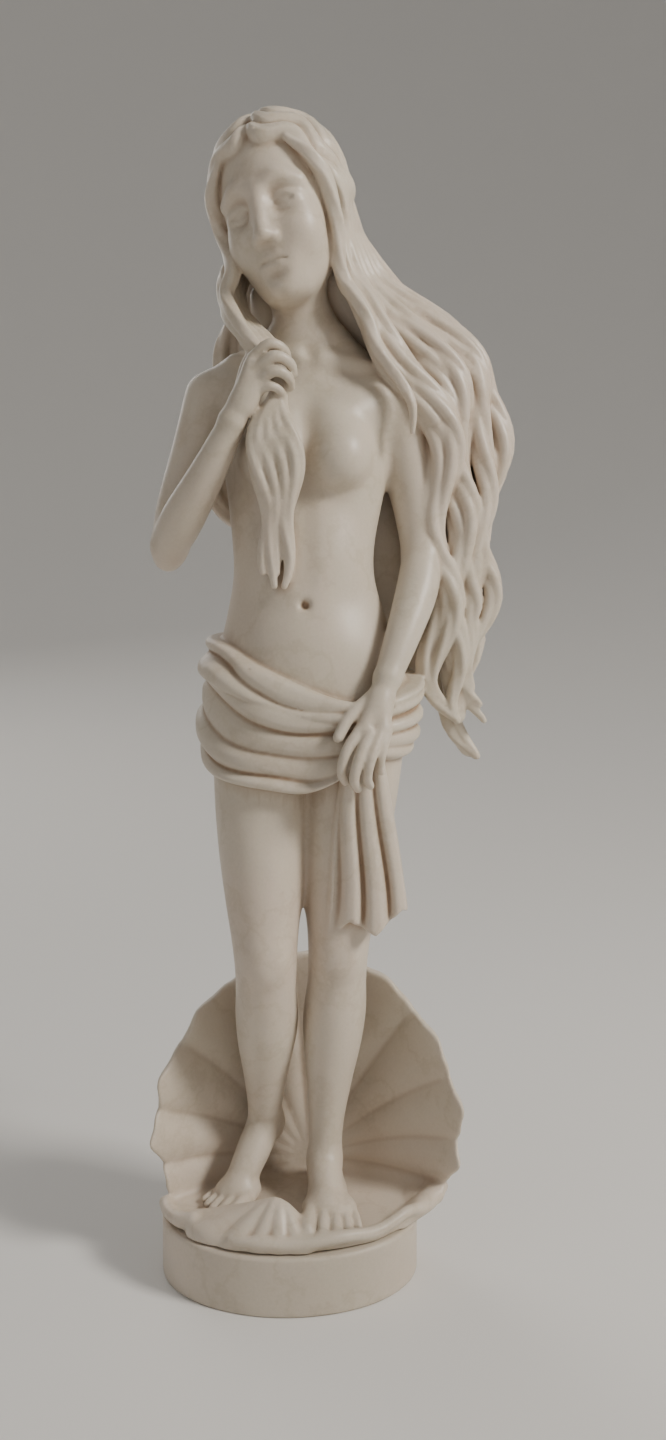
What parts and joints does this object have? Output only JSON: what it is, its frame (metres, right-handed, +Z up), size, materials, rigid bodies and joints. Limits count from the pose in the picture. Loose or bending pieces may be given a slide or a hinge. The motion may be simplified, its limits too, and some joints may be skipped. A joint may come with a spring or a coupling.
{
  "type": "aphrodite statue",
  "caption": "Standing Aphrodite with long wavy hair and a cloth rolled round the hips, in an open scallop shell on a plain oval plinth; solid cream cast marble",
  "frame": {"origin": "the middle of the plinth's flat underside", "axes": "+Z up through the figure, the figure's front to -Y, +X to the right of somebody who looks at its front"},
  "size_m": [0.0878, 0.046, 0.2735],
  "materials": {
    "plinth_marble": "satin cream bonded marble, fine cast grain",
    "figure_marble": "satin cream bonded marble, slightly translucent"
  },
  "bodies": {
    "root": {"plinth": "plinth_marble", "goddess_on_shell": "figure_marble"}
  },
  "joints": []
}
